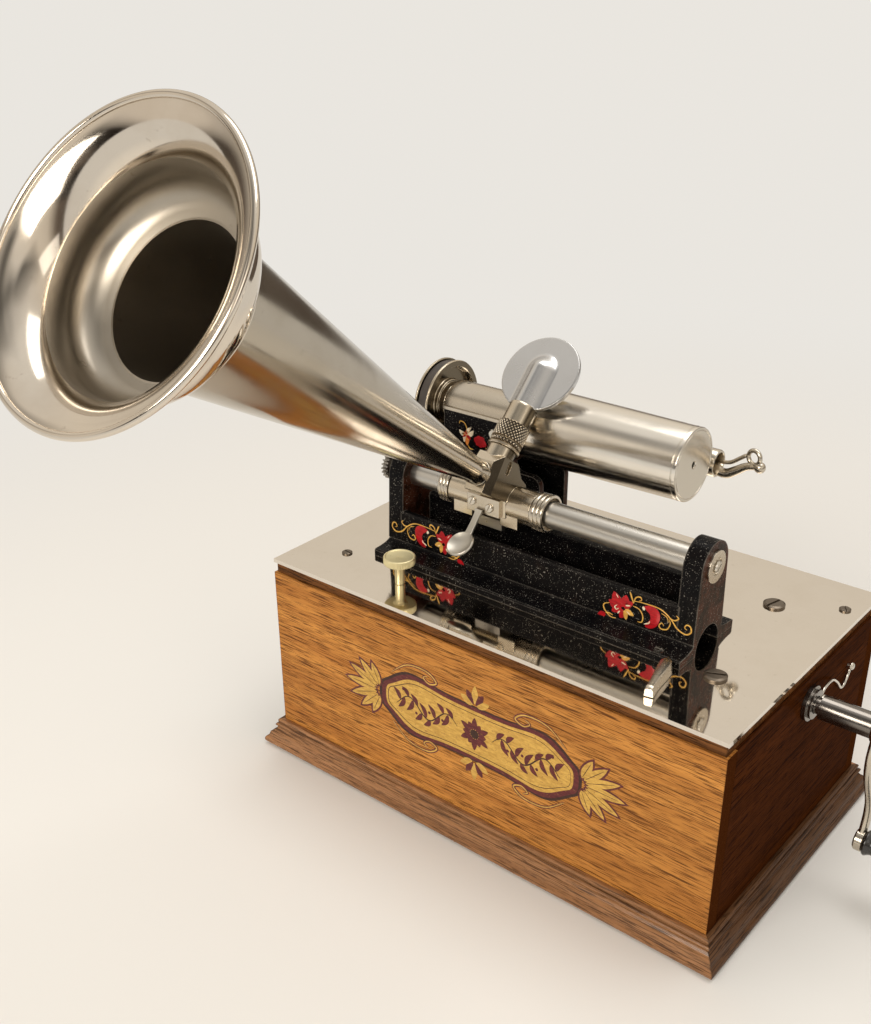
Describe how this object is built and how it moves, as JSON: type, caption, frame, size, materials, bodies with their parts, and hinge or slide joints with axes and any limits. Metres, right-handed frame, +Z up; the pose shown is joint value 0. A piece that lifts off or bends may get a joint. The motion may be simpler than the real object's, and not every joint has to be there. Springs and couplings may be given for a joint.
{
  "type": "cylinder phonograph",
  "caption": "Table-top cylinder phonograph: oak case with a crank-wound spring motor, nickel bedplate, belt-driven mandrel and a horn on a carriage that slides along a tube.",
  "frame": {"origin": "middle of the flat underside of the case", "axes": "+Z up, -Y towards the front of the case where the horn points, +X towards the crank"},
  "size_m": [0.3922, 0.4133, 0.42],
  "materials": {
    "oak": "oiled oak, open grain",
    "plain_wood": "planed board",
    "nickel": "polished nickel plate",
    "satin_nickel": "brushed nickel plate",
    "screw_steel": "polished steel",
    "black_japan": "gloss black japan on cast iron",
    "steel": "dark steel",
    "brass": "lacquered brass",
    "leather": "dark leather",
    "aluminium": "satin aluminium",
    "mica": "thin sheet",
    "black_wood": "black lacquer"
  },
  "bodies": {
    "base": {"front_panel": "oak", "rear_panel": "oak", "left_panel": "oak", "right_panel": "oak", "bottom_board": "plain_wood", "front_moulding": "oak", "rear_moulding": "oak", "left_moulding": "oak", "right_moulding": "oak", "top_rails": "oak", "bedplate": "nickel", "plate_screws": "screw_steel", "carriage_frame": "black_japan", "frame_bolts": "screw_steel", "mandrel_standard": "black_japan", "standard_bolts": "screw_steel", "mandrel_bearing": "nickel", "carriage_tube": "satin_nickel", "tube_washer": "nickel", "tube_screw": "screw_steel", "idler_stud": "screw_steel", "drive_belt": "leather", "rear_rod": "nickel", "rear_hook": "nickel", "crank_escutcheon": "nickel", "crank_clip": "screw_steel", "motor_plates": "steel", "motor_pillars": "steel", "ratchet_click": "steel"},
    "mandrel": {"mandrel_shaft": "steel", "mandrel": "satin_nickel", "mandrel_pulley": "nickel", "mandrel_gear": "steel"},
    "idler": {"idler_gear": "steel"},
    "feed": {"feed_screw": "steel", "feed_gear": "steel"},
    "collars": {"sleeve_collars": "nickel"},
    "carriage": {"carriage_body": "nickel", "clamp_plate": "nickel", "clamp_screws": "screw_steel", "thumb_lever": "nickel", "half_nut": "steel"},
    "union": {"union_collar": "nickel"},
    "reproducer": {"reproducer_disc": "aluminium", "sound_box": "aluminium", "diaphragm": "mica", "stylus_bar": "steel"},
    "horn": {"horn_cone": "nickel", "horn_ring": "nickel", "horn_bell": "nickel"},
    "barrel": {"spring_barrel": "brass", "mainspring": "steel"},
    "winding": {"barrel_arbor": "steel"},
    "second": {"second_arbor": "steel"},
    "governor": {"governor_arbor": "steel"},
    "crank": {"crank_shaft": "steel", "crank_arm": "nickel"},
    "knob": {"crank_knob": "black_wood"},
    "start": {"start_lever": "nickel"},
    "speed": {"speed_screw": "brass"}
  },
  "joints": [
    {"name": "mandrel_spin", "type": "hinge", "parent": "base", "child": "mandrel", "pos_m": [0, 0.022, 0.2128], "axis": [1, 0, 0], "continuous": true},
    {"name": "idler_spin", "type": "hinge", "parent": "base", "child": "idler", "pos_m": [-0.115, 0.00884, 0.17758], "axis": [1, 0, 0], "continuous": true},
    {"name": "feed_spin", "type": "hinge", "parent": "base", "child": "feed", "pos_m": [0, -0.0205, 0.1815], "axis": [1, 0, 0], "continuous": true},
    {"name": "governor_spin", "type": "hinge", "parent": "base", "child": "governor", "pos_m": [-0.05, 0.02198, 0.06982], "axis": [1, 0, 0], "continuous": true},
    {"name": "second_spin", "type": "hinge", "parent": "base", "child": "second", "pos_m": [0.02, 0.04097, 0.0845], "axis": [1, 0, 0], "continuous": true},
    {"name": "barrel_spin", "type": "hinge", "parent": "base", "child": "barrel", "pos_m": [0.06, 0.002, 0.062], "axis": [1, 0, 0], "continuous": true},
    {"name": "crank_turn", "type": "hinge", "parent": "base", "child": "crank", "pos_m": [0.15, 0.002, 0.109], "axis": [1, 0, 0], "continuous": true},
    {"name": "winding_spin", "type": "hinge", "parent": "base", "child": "winding", "pos_m": [0.06, 0.002, 0.062], "axis": [1, 0, 0], "continuous": true},
    {"name": "knob_spin", "type": "hinge", "parent": "crank", "child": "knob", "pos_m": [0.2, 0.006, 0.0354], "axis": [1, 0, 0], "continuous": true},
    {"name": "carriage_feed", "type": "slide", "parent": "base", "child": "collars", "axis": [1, 0, 0], "range_m": [-0.012, 0.085]},
    {"name": "carriage_lift", "type": "hinge", "parent": "collars", "child": "carriage", "pos_m": [-0.0307, -0.0205, 0.1815], "axis": [1, 0, 0], "range_deg": [0, 12]},
    {"name": "horn_pull", "type": "slide", "parent": "carriage", "child": "horn", "axis": [0.0415, -0.8201, 0.5707], "range_m": [0, 0.06]},
    {"name": "union_turn", "type": "hinge", "parent": "carriage", "child": "union", "pos_m": [-0.0307, -0.0354, 0.1997], "axis": [0, 0.7157, 0.6984], "continuous": true},
    {"name": "reproducer_pull", "type": "slide", "parent": "carriage", "child": "reproducer", "axis": [0, 0.7157, 0.6984], "range_m": [0, 0.025]},
    {"name": "start_lever_turn", "type": "hinge", "parent": "base", "child": "start", "pos_m": [0.096, -0.0542, 0.134], "axis": [0, 0, 1], "range_deg": [-12, 12]},
    {"name": "speed_screw_turn", "type": "hinge", "parent": "base", "child": "speed", "pos_m": [-0.0698, -0.0665, 0.134], "axis": [0, 0, 1], "range_deg": [-180, 180]}
  ],
  "couplings": [
    {"joint": "idler_spin", "follows": "mandrel_spin", "ratio": -0.74074},
    {"joint": "feed_spin", "follows": "mandrel_spin", "ratio": 2},
    {"joint": "governor_spin", "follows": "mandrel_spin", "ratio": 2},
    {"joint": "second_spin", "follows": "mandrel_spin", "ratio": -0.4},
    {"joint": "barrel_spin", "follows": "mandrel_spin", "ratio": 0.05},
    {"joint": "winding_spin", "follows": "crank_turn", "ratio": -0.30556}
  ]
}
